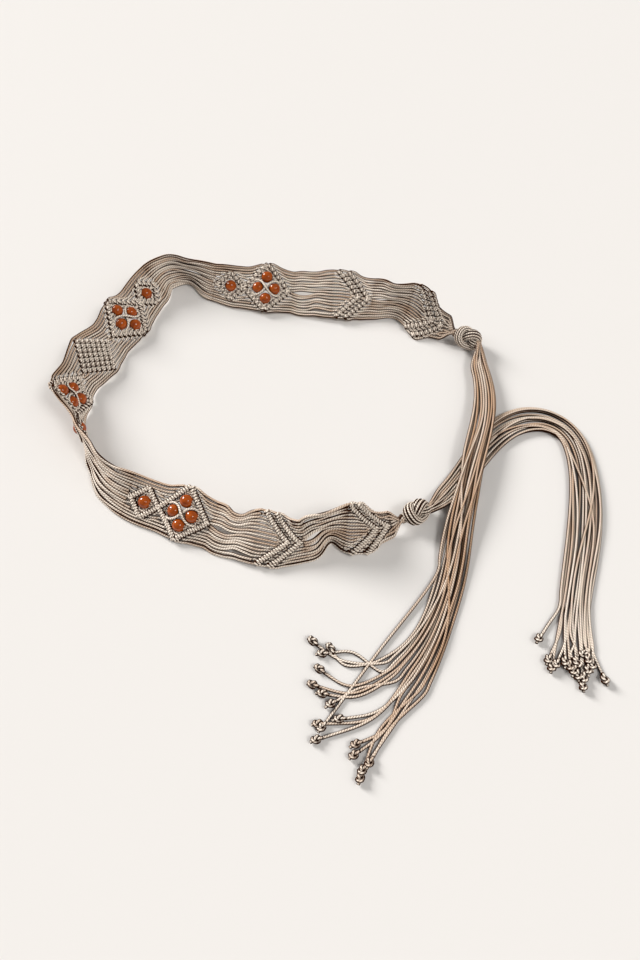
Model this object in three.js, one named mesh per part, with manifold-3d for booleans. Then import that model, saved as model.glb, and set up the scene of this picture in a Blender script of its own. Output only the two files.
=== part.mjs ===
// A beaded macrame tie belt that lies on a table in an open loop.
// Sixteen cords run from one fringe end to the other. Rows of double half hitches draw them into
// diamonds and chevrons, wood beads sit inside the diamonds, an overhand knot closes each end of
// the band, and the loose ends lie beyond the knots as two fringes.
// Millimetres, +Z up. The band is worked out flat, as a chart, and then laid round the loop.

import * as THREE from "three";
import { mergeVertices } from "three/addons/utils/BufferGeometryUtils.js";
import Module from "manifold-3d";

const wasm = await Module();
wasm.setup();

// Driving sizes

const CORD = 2; // diameter of one twisted cord
const CORDS = 16; // cords side by side in the band
const LANE_GAP = 0.25; // space between two cords that lie side by side
const HITCH = 4; // length that one double half hitch takes along its leader
const ROW_WIDTH = 4; // width of a row of hitches
const ROW_THICK = 5; // thickness of a row at its ridge
const ROW_ANGLE = THREE.MathUtils.degToRad(44); // a row's angle to a line square across the band
const LARGE_HITCHES = 7; // hitches along one side of a large diamond or a chevron
const SMALL_HITCHES = 4; // hitches along one side of a small diamond
const WEAVE_HALF = 22; // half the length of the filled diamond in the middle
const WEAVE_THICK = 4.4;
const INNER_RUN = 59.5; // plain cords between the inner and the outer beads
const MIDDLE_RUN = 35; // plain cords between the outer beads and the first chevrons
const OUTER_RUN = 32; // plain cords between the two pairs of chevrons
const CHEVRON_STEP = 8.6; // from one row of a chevron pair to the next
const GATHER = 11; // where the cords draw together before the knot
const KNOT_LENGTH = 22; // overhand knot, along the cords
const KNOT_WIDTH = 18;
const KNOT_HEIGHT = 17;
const BEAD = 10; // bead diameter
const BEAD_BORE = 4;
const THREAD = 1.6; // side of the cord core that carries a bead
const BEAD_ALONG = 7; // the four beads of a cluster, from its centre along the band
const BEAD_ACROSS = 9.2; // and across it
const SLOT = 1.3; // widest see-through slot between two pairs of plain cords
const FUSED = 2.5; // length at each end of a plain run where the cords lie close
const TAIL_LENGTH = 352; // fringe, from the middle of its knot
const TAIL_WIDTH = 20; // fringe lying as a flat bundle
const TAIL_THICK = 4.4; // two cords, one on the other
const STOPPER = 5; // stopper knot at the end of a pair of cords
const GAP = 0.3; // clearance between pieces that meet
const LAID = 0.4; // how far the band's lower edge clears the table that the fringes lie on
const PAIRS = CORDS / 2;

// Sizes that follow from the hitches

const LARGE_ALONG = LARGE_HITCHES * HITCH * Math.sin(ROW_ANGLE);
const LARGE_ACROSS = LARGE_HITCHES * HITCH * Math.cos(ROW_ANGLE);
const SMALL_ALONG = SMALL_HITCHES * HITCH * Math.sin(ROW_ANGLE);
const SMALL_ACROSS = SMALL_HITCHES * HITCH * Math.cos(ROW_ANGLE);
const ROW_REACH = ROW_WIDTH / 2 / Math.cos(ROW_ANGLE); // half a row's width, measured along the band
const CLUSTER_STEP = LARGE_ALONG + SMALL_ALONG + LANE_GAP; // centre to centre of two diamonds
const PLAIN_HALF = (CORDS * (CORD + LANE_GAP)) / 2;
const WIDE_HALF = LARGE_ACROSS + CORD / 2;
const BEAD_PANEL = LARGE_ALONG + SMALL_ALONG + CLUSTER_STEP + 2 * ROW_REACH + 2 * GAP;
const CHEVRON_PANEL = LARGE_ALONG + CHEVRON_STEP + 2 * ROW_REACH + 2 * GAP;

// Where each panel starts, measured from the middle of the band towards either knot

const INNER_BEADS_AT = WEAVE_HALF + GAP;
const INNER_RUN_AT = INNER_BEADS_AT + BEAD_PANEL;
const OUTER_BEADS_AT = INNER_RUN_AT + INNER_RUN;
const MIDDLE_RUN_AT = OUTER_BEADS_AT + BEAD_PANEL;
const FIRST_CHEVRON_AT = MIDDLE_RUN_AT + MIDDLE_RUN;
const OUTER_RUN_AT = FIRST_CHEVRON_AT + CHEVRON_PANEL;
const SECOND_CHEVRON_AT = OUTER_RUN_AT + OUTER_RUN;
const GATHER_AT = SECOND_CHEVRON_AT + CHEVRON_PANEL;
const KNOT_AT = GATHER_AT + GATHER + KNOT_LENGTH / 2;
const EDGE_REACH = ROW_REACH + GAP; // from a panel's end to the point of its outermost row

// The loop: how the band lies on the table from the near knot round to the far knot.
// x and y are shares of the band's length. lean is how far the band's top edge tips towards the
// inside of the loop, in degrees from upright. width is how far the cords are bunched together.

const BAND_LENGTH = 2 * KNOT_AT;
const LOOP = [
  { x: 0.093, y: -0.043, lean: 55, width: 0.9 },
  { x: 0.061, y: -0.057, lean: 50, width: 0.95 },
  { x: 0.031, y: -0.065, lean: 42, width: 0.95 },
  { x: 0.009, y: -0.064, lean: 14, width: 0.9 },
  { x: -0.016, y: -0.076, lean: 42, width: 0.93 },
  { x: -0.037, y: -0.075, lean: 58, width: 0.95 },
  { x: -0.082, y: -0.064, lean: 60, width: 1 },
  { x: -0.132, y: -0.045, lean: 62, width: 1 },
  { x: -0.171, y: -0.031, lean: 60, width: 1 },
  { x: -0.205, y: -0.013, lean: 42, width: 0.95 },
  { x: -0.225, y: 0.016, lean: 18, width: 0.8 },
  { x: -0.241, y: 0.049, lean: -5, width: 0.75 },
  { x: -0.255, y: 0.096, lean: -42, width: 0.95 },
  { x: -0.237, y: 0.148, lean: -60, width: 1 },
  { x: -0.209, y: 0.201, lean: -60, width: 1 },
  { x: -0.189, y: 0.24, lean: -50, width: 1 },
  { x: -0.172, y: 0.261, lean: -20, width: 0.85 },
  { x: -0.15, y: 0.262, lean: -5, width: 0.8 },
  { x: -0.122, y: 0.246, lean: -32, width: 0.9 },
  { x: -0.093, y: 0.242, lean: -55, width: 1 },
  { x: -0.053, y: 0.238, lean: -60, width: 1 },
  { x: 0.001, y: 0.231, lean: -60, width: 1 },
  { x: 0.045, y: 0.226, lean: -60, width: 1 },
  { x: 0.086, y: 0.213, lean: -15, width: 0.9 },
  { x: 0.116, y: 0.197, lean: -50, width: 1 },
  { x: 0.136, y: 0.187, lean: -50, width: 1 },
  { x: 0.16, y: 0.17, lean: -50, width: 0.9 },
];

// The fringes, from the middle of their knot. x and y are shares of the fringe's length, wide is a
// share of its flat width, and low (its underside) and thick are shares of its flat thickness.

const NEAR_TAIL = [
  { x: 0.025, y: 0.02, wide: 0.5, low: 0.8, thick: 1.6 },
  { x: 0.048, y: 0.04, wide: 0.7, low: 0.05, thick: 1.1 },
  { x: 0.078, y: 0.063, wide: 0.88, low: 0, thick: 1 },
  { x: 0.125, y: 0.131, wide: 0.95, low: 0, thick: 1 },
  { x: 0.182, y: 0.205, wide: 1.15, low: 0, thick: 1 },
  { x: 0.25, y: 0.252, wide: 1.3, low: 0, thick: 1 },
  { x: 0.31, y: 0.252, wide: 1.3, low: 0, thick: 1 },
  { x: 0.352, y: 0.224, wide: 1.1, low: 0, thick: 0.95 },
  { x: 0.37, y: 0.149, wide: 1.1, low: 0, thick: 0.9 },
  { x: 0.361, y: 0.037, wide: 1.35, low: 0, thick: 0.85 },
  { x: 0.335, y: -0.08, wide: 1.15, low: 0, thick: 0.8 },
  { x: 0.303, y: -0.188, wide: 1.15, low: 0, thick: 0.7 },
  { x: 0.283, y: -0.315, wide: 1.7, low: 0, thick: 0.5 },
];
const FAR_TAIL = [
  { x: 0.012, y: -0.03, wide: 0.5, low: 1.1, thick: 1.9 },
  { x: 0.022, y: -0.075, wide: 0.7, low: 0.9, thick: 1.3 },
  { x: 0.029, y: -0.162, wide: 0.85, low: 1.1, thick: 1 },
  { x: 0.013, y: -0.244, wide: 0.92, low: 1.5, thick: 1 },
  { x: -0.02, y: -0.335, wide: 0.9, low: 1.75, thick: 1 },
  { x: -0.041, y: -0.422, wide: 0.9, low: 1.8, thick: 1 },
  { x: -0.067, y: -0.515, wide: 1.02, low: 0.6, thick: 1 },
  { x: -0.082, y: -0.593, wide: 1.15, low: 0, thick: 0.95 },
  { x: -0.108, y: -0.668, wide: 1.2, low: 0, thick: 0.9 },
  { x: -0.143, y: -0.739, wide: 1.35, low: 0, thick: 0.8 },
  { x: -0.192, y: -0.801, wide: 1.9, low: 0, thick: 0.6 },
  { x: -0.25, y: -0.842, wide: 3, low: 0, thick: 0.5 },
  { x: -0.309, y: -0.863, wide: 4.1, low: 0, thick: 0.5 },
];
// How far each pair of cords reaches along its fringe, as a share, from its left side to its right
const NEAR_REACH = [0.94, 0.97, 0.99, 0.96, 1, 0.98, 0.93, 1];
const FAR_REACH = [1, 0.96, 0.98, 1, 0.95, 1, 0.97, 1];

// Materials

const cordMaterial = new THREE.MeshStandardMaterial({ color: 0xbfa488, roughness: 0.7, metalness: 0 });
const beadMaterial = new THREE.MeshStandardMaterial({ color: 0xbe4b19, roughness: 0.35, metalness: 0 });

const belt = new THREE.Group();

// A curve through the rows of a table, with its other columns eased from row to row.
function routeOf(rows, unit, origin) {
  const points = rows.map((row) => new THREE.Vector3(row.x * unit, row.y * unit, 0).add(origin));
  const curve = new THREE.CatmullRomCurve3(points);
  curve.arcLengthDivisions = 1000;
  const length = curve.getLength();
  function at(distance) {
    const share = THREE.MathUtils.clamp(distance / length, 0, 1);
    const place = curve.getUtoTmapping(share) * (rows.length - 1);
    const index = Math.min(Math.floor(place), rows.length - 2);
    const ease = THREE.MathUtils.smoothstep(place - index, 0, 1);
    const read = (column) => THREE.MathUtils.lerp(rows[index][column], rows[index + 1][column], ease);
    return { point: curve.getPointAt(share), along: curve.getTangentAt(share), read };
  }
  return { at, length };
}

// The loop's table gives its shape. It is scaled so that its length is the band's.
const shapeLength = routeOf(LOOP, BAND_LENGTH, new THREE.Vector3()).length;
const loop = routeOf(LOOP, (BAND_LENGTH * BAND_LENGTH) / shapeLength, new THREE.Vector3());

// Half the band's width where it lies flat in the chart: wide at the diamonds and chevrons, plain in
// between, and narrow at the knot.
const HALF_WIDTHS = [
  [0, WIDE_HALF],
  [INNER_BEADS_AT, PLAIN_HALF],
  [INNER_BEADS_AT + EDGE_REACH + LARGE_ALONG, WIDE_HALF],
  [INNER_BEADS_AT + EDGE_REACH + 2 * LARGE_ALONG, PLAIN_HALF],
  [MIDDLE_RUN_AT - EDGE_REACH - 2 * LARGE_ALONG, PLAIN_HALF],
  [MIDDLE_RUN_AT - EDGE_REACH - LARGE_ALONG, WIDE_HALF],
  [MIDDLE_RUN_AT, PLAIN_HALF],
  [FIRST_CHEVRON_AT + EDGE_REACH, WIDE_HALF],
  [OUTER_RUN_AT, PLAIN_HALF],
  [SECOND_CHEVRON_AT + EDGE_REACH, WIDE_HALF],
  [GATHER_AT, 0.85 * PLAIN_HALF],
  [GATHER_AT + GATHER, 0.4 * KNOT_WIDTH],
  [KNOT_AT, 0.4 * KNOT_WIDTH],
];

function halfWidth(distance) {
  const found = HALF_WIDTHS.findIndex(([at]) => at >= distance);
  if (found <= 0) return HALF_WIDTHS[found < 0 ? HALF_WIDTHS.length - 1 : 0][1];
  const [from, before] = HALF_WIDTHS[found - 1];
  const [to, after] = HALF_WIDTHS[found];
  return THREE.MathUtils.lerp(before, after, THREE.MathUtils.smoothstep(distance, from, to));
}

// The cords pile up on each other as they draw in towards the knot.
function piledThickness(distance) {
  const share = THREE.MathUtils.smoothstep(distance, GATHER_AT, GATHER_AT + GATHER);
  return THREE.MathUtils.lerp(CORD + LANE_GAP, 0.5 * KNOT_HEIGHT, share);
}

// A point of the flat chart laid round the loop. side is 1 towards the far knot and -1 towards the
// near one, distance runs from the middle of the band, across is up the band's width, and off is
// out from its middle plane, towards the outside of the loop. The filled diamond reaches both ways
// from the middle, so its distances start below 0.
function onLoop(side, distance, across, off) {
  const { point, along, read } = loop.at(KNOT_AT + side * distance);
  const lean = THREE.MathUtils.degToRad(read("lean"));
  const bunch = read("width");
  const outward = new THREE.Vector3(-along.y, along.x, 0).normalize();
  const up = new THREE.Vector3(0, 0, 1);
  const face = outward.clone().multiplyScalar(Math.cos(lean)).addScaledVector(up, Math.sin(lean));
  const rise = up.multiplyScalar(Math.cos(lean)).addScaledVector(outward, -Math.sin(lean));
  const reach = Math.abs(distance);
  const half = halfWidth(reach);
  const row = THREE.MathUtils.smoothstep(half, PLAIN_HALF, WIDE_HALF);
  const thick = Math.max(THREE.MathUtils.lerp(CORD, ROW_THICK, row), piledThickness(reach));
  const flat = bunch * half * Math.cos(lean) + (thick / 2) * Math.abs(Math.sin(lean));
  const knotted = THREE.MathUtils.smoothstep(reach, GATHER_AT - GATHER, GATHER_AT + GATHER);
  point.z = LAID + Math.max(flat, THREE.MathUtils.lerp(flat, KNOT_HEIGHT / 2, knotted));
  return point.addScaledVector(rise, across * bunch).addScaledVector(face, off);
}

// A closed mesh from its points and triangles, with its faces turned to point outwards.
function closedGeometry(points, triangles) {
  const cross = new THREE.Vector3();
  const volume = triangles.reduce((sum, [a, b, c]) => {
    return sum + cross.crossVectors(points[a], points[b]).dot(points[c]);
  }, 0);
  const turned = volume < 0 ? triangles.map(([a, b, c]) => [a, c, b]) : triangles;
  const geometry = new THREE.BufferGeometry().setFromPoints(points);
  geometry.setIndex(turned.flat());
  geometry.computeVertexNormals();
  return geometry;
}

// A lattice of strips that each stand for a pair of cords. Cross lines cut it along its length.
// lines[j].edges holds the left and right edge of each strip in turn, and where two neighbours'
// edges meet the strips are fused. lines[j].at(across) is how far along that line lies, and
// lines[j].missing lists the strips that are cut out between this line and the next.
function latticeGeometry(lines, place, thickness) {
  const points = [];
  const triangles = [];
  const rows = [];
  const last = lines.length - 1;
  lines.forEach((line, j) => {
    const row = line.edges.map((across, edge) => {
      const before = j > 0 ? rows[j - 1][edge] : { across: Infinity };
      const straight = Math.abs(before.across - across) < CORD;
      return { across, along: Math.max(line.at(across), straight ? before.along + GAP : -Infinity) };
    });
    row.forEach((corner, edge) => {
      const left = edge % 2 === 0 && edge > 0 ? row[edge - 1] : null;
      if (left && Math.abs(left.across - corner.across) < 1e-6) {
        Object.assign(corner, left);
        return;
      }
      const half = thickness(corner.along, corner.across) / 2;
      corner.top = points.push(place(corner.along, corner.across, half)) - 1;
      corner.bottom = points.push(place(corner.along, corner.across, -half)) - 1;
    });
    rows.push(row);
  });
  const quad = (a, b, c, d) => triangles.push([a, b, c], [a, c, d]);
  const wall = (a, b) => quad(a.top, a.bottom, b.bottom, b.top);
  const solid = (j, strip) => j >= 0 && j < last && !(lines[j].missing || []).includes(strip);
  const fused = (j, strip) => {
    const meets = (row) => row[2 * strip + 1].top === row[2 * strip + 2].top;
    return meets(rows[j]) && meets(rows[j + 1]);
  };
  for (let j = 0; j < last; j += 1) {
    for (let strip = 0; strip < lines[j].edges.length / 2; strip += 1) {
      if (!solid(j, strip)) continue;
      const [a, b] = [rows[j][2 * strip], rows[j][2 * strip + 1]];
      const [c, d] = [rows[j + 1][2 * strip], rows[j + 1][2 * strip + 1]];
      quad(a.top, c.top, d.top, b.top);
      quad(a.bottom, b.bottom, d.bottom, c.bottom);
      if (strip === 0 || !fused(j, strip - 1) || !solid(j, strip - 1)) wall(a, c);
      const lastStrip = lines[j].edges.length / 2 - 1;
      if (strip === lastStrip || !fused(j, strip) || !solid(j, strip + 1)) wall(d, b);
      if (!solid(j - 1, strip)) wall(b, a);
      if (!solid(j + 1, strip)) wall(c, d);
    }
  }
  return closedGeometry(points, triangles);
}

// Edges of the pairs of cords across a width, each drawn in by half its slot on either side.
function pairEdges(half, slots) {
  const edges = [];
  for (let strip = 0; strip < PAIRS; strip += 1) {
    const left = strip > 0 ? slots[strip - 1] / 2 : 0;
    const right = strip < PAIRS - 1 ? slots[strip] / 2 : 0;
    edges.push(half * ((2 * strip) / PAIRS - 1) + left);
    edges.push(half * ((2 * (strip + 1)) / PAIRS - 1) - right);
  }
  return edges;
}

const CLOSED = Array(PAIRS - 1).fill(0);
const flatLine = (at, slots = CLOSED) => ({ at: () => at, edges: pairEdges(halfWidth(at), slots) });

function addPiece(name, geometry, material) {
  const mesh = new THREE.Mesh(geometry, material);
  mesh.name = name;
  belt.add(mesh);
}

function addPanel(name, side, lines, thickness) {
  const place = (along, across, off) => onLoop(side, along, across, off);
  addPiece(name, latticeGeometry(lines, place, thickness), cordMaterial);
}

// Plain cords: they lie fused at both ends and open into slots between them.
const SLOT_SHARES = [0.5, 1, 0.7, 0.5, 0.7, 1, 0.5];

function addRun(name, side, start, length, steps) {
  const [from, to] = [start + GAP / 2, start + length - GAP / 2];
  const lines = [flatLine(from), flatLine(from + FUSED)];
  for (let step = 1; step < steps; step += 1) {
    const share = step / steps;
    const open = SLOT * Math.sin(Math.PI * share);
    const at = THREE.MathUtils.lerp(from + FUSED, to - FUSED, share);
    lines.push(flatLine(at, SLOT_SHARES.map((part) => part * open)));
  }
  lines.push(flatLine(to - FUSED), flatLine(to));
  addPanel(name, side, lines, () => CORD);
}

// A row of hitches is a ridge. rows are functions that give its crest along the band.
function ridged(rows) {
  return (along, across) => {
    const nearest = Math.min(...rows.map((row) => Math.abs(row(Math.abs(across)) - along)));
    const share = Math.max(0, 1 - nearest / ROW_REACH);
    return CORD + (ROW_THICK - CORD) * share;
  };
}

// The lines of one chart row, before, on and after its crest. Their slots are shut.
function rowLines(row, near) {
  return [-ROW_REACH, 0, ROW_REACH].map((shift) => ({
    at: (across) => row(Math.abs(across)) + shift,
    edges: pairEdges(halfWidth(near), CLOSED),
  }));
}

// A knotted diamond with beads inside. threads lists which strips run on through the beads and
// where across the band, and missing the strips that are cut out inside the diamond.
const TAPER = 1.8; // length in which a pair of cords narrows to the core that carries a bead

function diamondLines({ centre, along, across, threads, missing }) {
  const least = ROW_REACH + 2 * GAP;
  const reach = (at) => Math.max(along * (1 - at / across), least);
  const shrunk = pairEdges(halfWidth(centre), CLOSED);
  threads.forEach(({ strip, at }) => {
    shrunk[2 * strip] = at - THREAD / 2;
    shrunk[2 * strip + 1] = at + THREAD / 2;
  });
  const inner = (at) => reach(Math.abs(at)) - ROW_REACH;
  const tapered = (at) => Math.max(inner(at) - TAPER, GAP);
  const before = rowLines((at) => centre - reach(at), centre);
  const after = rowLines((at) => centre + reach(at), centre);
  before[2].missing = missing;
  const inside = [-1, 0, 1].map((way) => ({
    at: (at) => centre + way * tapered(at),
    edges: shrunk,
    missing,
  }));
  return [...before, ...inside, ...after];
}

const LARGE = {
  along: LARGE_ALONG,
  across: LARGE_ACROSS,
  threads: [
    { strip: 2, at: -BEAD_ACROSS },
    { strip: 3, at: 0 },
    { strip: 5, at: BEAD_ACROSS },
  ],
  missing: [1, 4, 6],
  beads: [
    [0, -BEAD_ACROSS],
    [-BEAD_ALONG, 0],
    [BEAD_ALONG, 0],
    [0, BEAD_ACROSS],
  ],
};
const SMALL = {
  along: SMALL_ALONG,
  across: SMALL_ACROSS,
  threads: [{ strip: 3, at: 0 }],
  missing: [2, 4, 5],
  beads: [[0, 0]],
};

function beadGeometry() {
  const profile = [];
  const steps = 4;
  const open = Math.asin(BEAD_BORE / BEAD);
  for (let step = 0; step <= steps; step += 1) {
    const turn = open + ((Math.PI - 2 * open) * step) / steps;
    profile.push(new THREE.Vector2((BEAD / 2) * Math.sin(turn), (-BEAD / 2) * Math.cos(turn)));
  }
  profile.push(profile[0].clone());
  return closedLathe(profile, 10);
}

function closedLathe(profile, sides) {
  const geometry = new THREE.LatheGeometry(profile, sides);
  geometry.deleteAttribute("normal");
  geometry.deleteAttribute("uv");
  return mergeVertices(geometry, 1e-4);
}

function addBead(name, side, along, across) {
  const mesh = new THREE.Mesh(beadGeometry(), beadMaterial);
  const ahead = onLoop(side, along + BEAD / 4, across, 0);
  const behind = onLoop(side, along - BEAD / 4, across, 0);
  mesh.name = name;
  mesh.position.copy(ahead).add(behind).multiplyScalar(0.5);
  mesh.quaternion.setFromUnitVectors(new THREE.Vector3(0, 1, 0), ahead.sub(behind).normalize());
  belt.add(mesh);
}

// Two diamonds in a row. The leaders cross between them, so their rows meet in an X.
function addBeadPanel(name, side, start, order) {
  const sizes = order === "large first" ? [LARGE, SMALL] : [SMALL, LARGE];
  const first = start + EDGE_REACH + sizes[0].along;
  const diamonds = [
    { ...sizes[0], centre: first },
    { ...sizes[1], centre: first + CLUSTER_STEP },
  ];
  const crests = diamonds.flatMap(({ centre, along, across }) => {
    const reach = (at) => along * (1 - at / across);
    const beyond = (at, way) => (at > across ? Infinity : centre + way * reach(at));
    return [(at) => beyond(at, -1), (at) => beyond(at, 1)];
  });
  const lines = [
    flatLine(start + GAP / 2),
    ...diamonds.flatMap(diamondLines),
    flatLine(start + BEAD_PANEL - GAP / 2),
  ];
  addPanel(name, side, lines, ridged(crests));
  diamonds.forEach(({ centre, beads, along }) => {
    const group = along === LARGE_ALONG ? "cluster" : "single";
    beads.forEach(([ahead, across], index) => {
      const label = beads.length > 1 ? `${group}_${index + 1}` : group;
      addBead(`bead_${name.replace("bead_panel_", "")}_${label}`, side, centre + ahead, across);
    });
  });
}

// A pair of V-shaped rows that point towards the knot.
function addChevrons(name, side, start) {
  const crest = (at) => start + EDGE_REACH + LARGE_ALONG * Math.max(0, 1 - at / LARGE_ACROSS);
  const next = (at) => crest(at) + CHEVRON_STEP;
  const lines = [
    flatLine(start + GAP / 2),
    ...rowLines(crest, start + EDGE_REACH),
    ...rowLines(next, start + EDGE_REACH + CHEVRON_STEP),
    flatLine(start + CHEVRON_PANEL - GAP / 2),
  ];
  addPanel(name, side, lines, ridged([crest, next]));
}

// The filled diamond: cords hitched over each other all over, so it is one thick quilted piece.
function addWeave(name) {
  const reach = (across) => Math.max((WEAVE_HALF - CORD) * (1 - Math.abs(across) / LARGE_ACROSS), CORD);
  const shares = [-1.06, -0.88, -0.44, 0, 0.44, 0.88, 1.06];
  const edges = pairEdges(WIDE_HALF, CLOSED);
  const end = WEAVE_HALF + GAP / 2;
  const lines = [
    { at: () => -end, edges: pairEdges(PLAIN_HALF, CLOSED) },
    ...shares.map((share) => ({ at: (across) => share * reach(across), edges })),
    { at: () => end, edges: pairEdges(PLAIN_HALF, CLOSED) },
  ];
  const thickness = (along, across) => {
    const inside = Math.abs(along) / WEAVE_HALF + Math.abs(across) / LARGE_ACROSS;
    return THREE.MathUtils.lerp(WEAVE_THICK, CORD, THREE.MathUtils.smoothstep(inside, 0.86, 1));
  };
  addPanel(name, 1, lines, thickness);
}

function addGather(name, side) {
  const lines = [0, 0.5, 1].map((share) => flatLine(GATHER_AT + GAP / 2 + share * (GATHER - GAP)));
  addPanel(name, side, lines, piledThickness);
}

// Joins closed meshes into one.
function toSolid(geometry) {
  const bare = geometry.clone();
  bare.deleteAttribute("normal");
  bare.deleteAttribute("uv");
  const merged = mergeVertices(bare, 1e-4);
  return new wasm.Manifold(
    new wasm.Mesh({
      numProp: 3,
      vertProperties: merged.attributes.position.array,
      triVerts: new Uint32Array(merged.index.array),
    }),
  );
}

function joined(geometries) {
  const mesh = geometries.map(toSolid).reduce((sum, next) => sum.add(next)).getMesh();
  const geometry = new THREE.BufferGeometry();
  geometry.setAttribute("position", new THREE.BufferAttribute(mesh.vertProperties, 3));
  geometry.setIndex(new THREE.BufferAttribute(mesh.triVerts, 1));
  return geometry;
}

// An overhand knot of the whole bundle: a lumpy core with two wraps laid over it on the slant.
function addKnot(name, side) {
  const centre = onLoop(side, KNOT_AT, 0, 0);
  centre.z = KNOT_HEIGHT / 2;
  const ahead = loop.at(KNOT_AT * (1 + side)).along.multiplyScalar(side);
  const turn = Math.atan2(ahead.y, ahead.x);
  const core = new THREE.SphereGeometry(0.5, 10, 6);
  core.scale(KNOT_LENGTH, 0.72 * KNOT_WIDTH, 0.72 * KNOT_HEIGHT);
  const ring = 0.22 * KNOT_WIDTH;
  const wraps = [-1, 1].map((way) => {
    const wrap = new THREE.TorusGeometry(KNOT_WIDTH / 2 - ring, ring, 6, 10);
    wrap.scale(1, KNOT_HEIGHT / KNOT_WIDTH, 1);
    wrap.rotateY(Math.PI / 2);
    wrap.rotateX(Math.PI / 2);
    wrap.rotateZ(way * 0.42);
    wrap.translate(way * 0.1 * KNOT_LENGTH, 0, 0);
    return wrap;
  });
  const geometry = joined([core, ...wraps]);
  geometry.rotateZ(turn);
  geometry.translate(centre.x, centre.y, centre.z);
  addPiece(name, geometry, cordMaterial);
  return centre;
}

// A fringe: pairs of cords that lie fused as a flat bundle at the knot and fan out into locks, each
// with a stopper knot at its tip.
function addTail(name, rows, reach, knot) {
  const origin = new THREE.Vector3(knot.x, knot.y, 0);
  const route = routeOf(rows, TAIL_LENGTH, origin);
  const spread = (distance) => {
    const { read } = route.at(distance);
    const thick = read("thick") * TAIL_THICK;
    const half = (read("wide") * TAIL_WIDTH) / 2;
    const lock = Math.min((CORD * TAIL_THICK * 0.5) / thick, half / PAIRS);
    return { half, lock, thick };
  };
  const place = (along, across, off) => {
    const { point, along: ahead, read } = route.at(along);
    const thick = read("thick") * TAIL_THICK;
    const left = new THREE.Vector3(-ahead.y, ahead.x, 0).normalize();
    point.z = read("low") * TAIL_THICK + thick / 2 + off;
    return point.addScaledVector(left, -across);
  };
  const steps = 14;
  const lines = [];
  for (let step = 0; step <= steps; step += 1) {
    const nominal = (route.length * step) / steps;
    const { half, lock } = spread(nominal);
    const pitch = (2 * half) / PAIRS;
    const slot = pitch - 2 * lock > 2 * GAP ? pitch - 2 * lock : 0;
    const edges = pairEdges(half, Array(PAIRS - 1).fill(slot));
    const trim = (across) => {
      const strip = THREE.MathUtils.clamp(Math.floor(((across / half + 1) * PAIRS) / 2), 0, PAIRS - 1);
      return step < steps - 2 ? 1 : reach[strip];
    };
    lines.push({ at: (across) => nominal * trim(across), edges });
  }
  const body = latticeGeometry(lines, place, (along) => spread(along).thick);
  const tips = reach.map((share, strip) => {
    const { half } = spread(route.length);
    const tip = new THREE.IcosahedronGeometry(STOPPER / 2, 0);
    const end = place(route.length * share, half * ((2 * strip + 1) / PAIRS - 1), 0);
    tip.translate(end.x, end.y, STOPPER / 2);
    return tip;
  });
  addPiece(name, joined([body, ...tips]), cordMaterial);
}

addWeave("centre_weave");
for (const [half, side] of [
  ["near", -1],
  ["far", 1],
]) {
  addBeadPanel(`bead_panel_inner_${half}`, side, INNER_BEADS_AT, "large first");
  addRun(`inner_run_${half}`, side, INNER_RUN_AT, INNER_RUN, 6);
  addBeadPanel(`bead_panel_outer_${half}`, side, OUTER_BEADS_AT, "small first");
  addRun(`middle_run_${half}`, side, MIDDLE_RUN_AT, MIDDLE_RUN, 4);
  addChevrons(`first_chevrons_${half}`, side, FIRST_CHEVRON_AT);
  addRun(`outer_run_${half}`, side, OUTER_RUN_AT, OUTER_RUN, 4);
  addChevrons(`second_chevrons_${half}`, side, SECOND_CHEVRON_AT);
  addGather(`gather_${half}`, side);
}
addTail("tail_near", NEAR_TAIL, NEAR_REACH, addKnot("knot_near", -1));
addTail("tail_far", FAR_TAIL, FAR_REACH, addKnot("knot_far", 1));

// The origin is the middle of the belt's footprint, on the table.
belt.updateMatrixWorld(true);
const extent = new THREE.Box3().setFromObject(belt, true);
const middle = extent.getCenter(new THREE.Vector3());
belt.position.set(-middle.x, -middle.y, -extent.min.z);

export default belt;
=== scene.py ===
import math

import bpy
import numpy as np
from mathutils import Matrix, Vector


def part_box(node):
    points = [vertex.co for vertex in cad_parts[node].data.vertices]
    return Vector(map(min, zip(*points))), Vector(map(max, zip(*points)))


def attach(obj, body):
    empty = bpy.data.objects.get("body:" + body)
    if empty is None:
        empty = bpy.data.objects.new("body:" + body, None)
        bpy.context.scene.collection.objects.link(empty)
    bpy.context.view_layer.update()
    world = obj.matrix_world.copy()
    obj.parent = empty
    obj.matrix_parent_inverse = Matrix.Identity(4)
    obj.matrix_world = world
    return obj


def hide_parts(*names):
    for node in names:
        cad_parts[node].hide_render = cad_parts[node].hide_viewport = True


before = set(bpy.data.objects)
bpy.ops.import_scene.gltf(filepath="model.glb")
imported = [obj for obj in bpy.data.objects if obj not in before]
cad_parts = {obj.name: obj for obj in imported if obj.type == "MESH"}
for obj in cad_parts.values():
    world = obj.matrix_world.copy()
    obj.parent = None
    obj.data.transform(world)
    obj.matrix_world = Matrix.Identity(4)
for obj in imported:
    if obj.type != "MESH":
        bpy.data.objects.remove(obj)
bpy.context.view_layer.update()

# The filled diamond in the middle of the band. Like the whole belt it is knotted from sixteen
# waxed cords, each of three plies twisted together. Every cord of one half is hitched twice round
# every cord of the other half, so the diamond is a thick grid of double half hitches.

MM = 0.001
CORDS = 16
HALF_CORDS = CORDS // 2
CORD = 2.2  # diameter of a cord as it lies
SOLID_CORD = 2.0  # and of the cords that the solids stand for
LANE_GAP = 0.25
LANE = SOLID_CORD + LANE_GAP  # from one cord to the next in the plain band
HITCH = 4.0  # length that a double half hitch takes along its leader
ROW_ANGLE = math.radians(44)
ROW_WIDTH = 4.0
ROW_THICK = 5.0
LARGE_HITCHES = 7
SMALL_HITCHES = 4

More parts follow.
